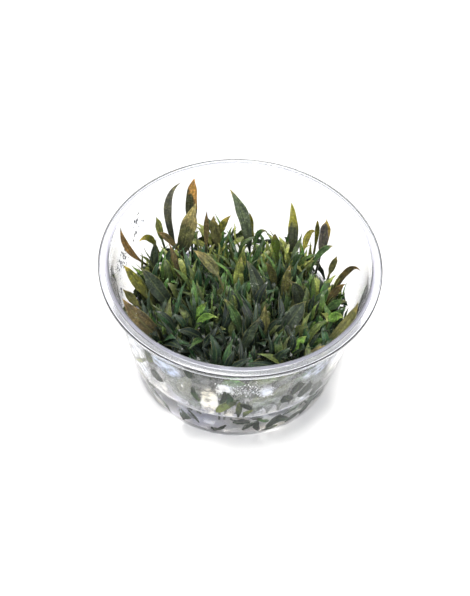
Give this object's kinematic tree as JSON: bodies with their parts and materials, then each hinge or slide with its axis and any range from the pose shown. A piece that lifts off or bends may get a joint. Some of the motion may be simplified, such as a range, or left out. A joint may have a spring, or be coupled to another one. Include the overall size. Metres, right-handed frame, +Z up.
{
  "type": "potted cryptocoryne",
  "caption": "Dense clump of cryptocoryne wendtii rooted in a layer of clear culture gel in an open, round, tapered cup of clear plastic with a flat rim.",
  "frame": {"origin": "middle of the cup's foot, at the level that the cup stands on", "axes": "+Z up through the middle of the cup's mouth, -Y towards the front, +X to the right of the front view"},
  "size_m": [0.105, 0.105, 0.061],
  "materials": {
    "clear_plastic": "clear and glossy, with fine mist on the inside",
    "culture_gel": "wet, faintly milky gel",
    "leaf_green": "smooth waxy leaf, dark green",
    "leaf_dark": "smooth waxy leaf, grey-green to nearly black",
    "leaf_olive": "smooth waxy leaf, olive",
    "leaf_bronze": "smooth waxy leaf, brown",
    "leaf_gold": "smooth waxy leaf, yellow-green",
    "leaf_bright": "smooth waxy leaf, fresh green",
    "leaf_orange": "smooth leaf, ageing to orange-brown",
    "leaf_purple": "smooth leaf, dark purple-brown",
    "leaf_young": "small soft leaves, mid to dark green"
  },
  "bodies": {
    "root": {"cup": "clear_plastic", "gel": "culture_gel", "leaf_sickle": "leaf_dark", "leaf_orange_tip": "leaf_orange", "leaf_broad_olive": "leaf_olive", "leaf_slim_brown": "leaf_bronze", "leaf_back_olive": "leaf_olive", "leaf_back_yellow": "leaf_gold", "leaf_left_green_tip": "leaf_bright", "leaf_rosy_slant": "leaf_bronze", "leaf_folded_yellow": "leaf_gold", "leaf_left_dark": "leaf_dark", "leaf_far_left_orange": "leaf_orange", "leaf_left_gold": "leaf_gold", "leaf_left_broad_dark": "leaf_dark", "leaf_left_big_bronze": "leaf_bronze", "leaf_left_small": "leaf_olive", "leaf_long_stalk": "leaf_olive", "leaf_red_slim": "leaf_bronze", "leaf_bright_left": "leaf_bright", "leaf_curled_yellow": "leaf_bright", "leaf_tall_glossy": "leaf_green", "leaf_slim_yellow": "leaf_gold", "leaf_arching_small": "leaf_green", "leaf_blunt_green": "leaf_bright", "leaf_tall_yellow_tip": "leaf_dark", "leaf_right_yellow": "leaf_gold", "leaf_right_slim": "leaf_gold", "leaf_purple": "leaf_purple", "leaf_right_pointed": "leaf_green", "leaf_right_olive": "leaf_olive", "leaf_far_right_arch": "leaf_bronze", "leaf_right_brown": "leaf_bronze", "leaf_right_wall_big": "leaf_olive", "leaf_front_right_brown": "leaf_bronze", "leaf_right_bright": "leaf_bright", "leaf_right_green": "leaf_green", "leaf_centre_oval": "leaf_gold", "leaf_centre_speckled": "leaf_dark", "leaf_mid_olive": "leaf_olive", "leaf_speckled_narrow": "leaf_olive", "leaf_right_centre_dark": "leaf_dark", "leaf_front_broadest": "leaf_dark", "leaf_front_mid": "leaf_olive", "leaf_front_dark": "leaf_dark", "leaf_front_green": "leaf_green", "leaf_front_bright": "leaf_bright", "plantlet_01": "leaf_young", "plantlet_02": "leaf_young", "plantlet_03": "leaf_young", "plantlet_04": "leaf_young", "plantlet_05": "leaf_young", "plantlet_06": "leaf_young", "plantlet_07": "leaf_young", "plantlet_08": "leaf_young", "plantlet_09": "leaf_young", "plantlet_10": "leaf_young", "plantlet_11": "leaf_young", "plantlet_12": "leaf_young", "plantlet_13": "leaf_young"}
  },
  "joints": []
}
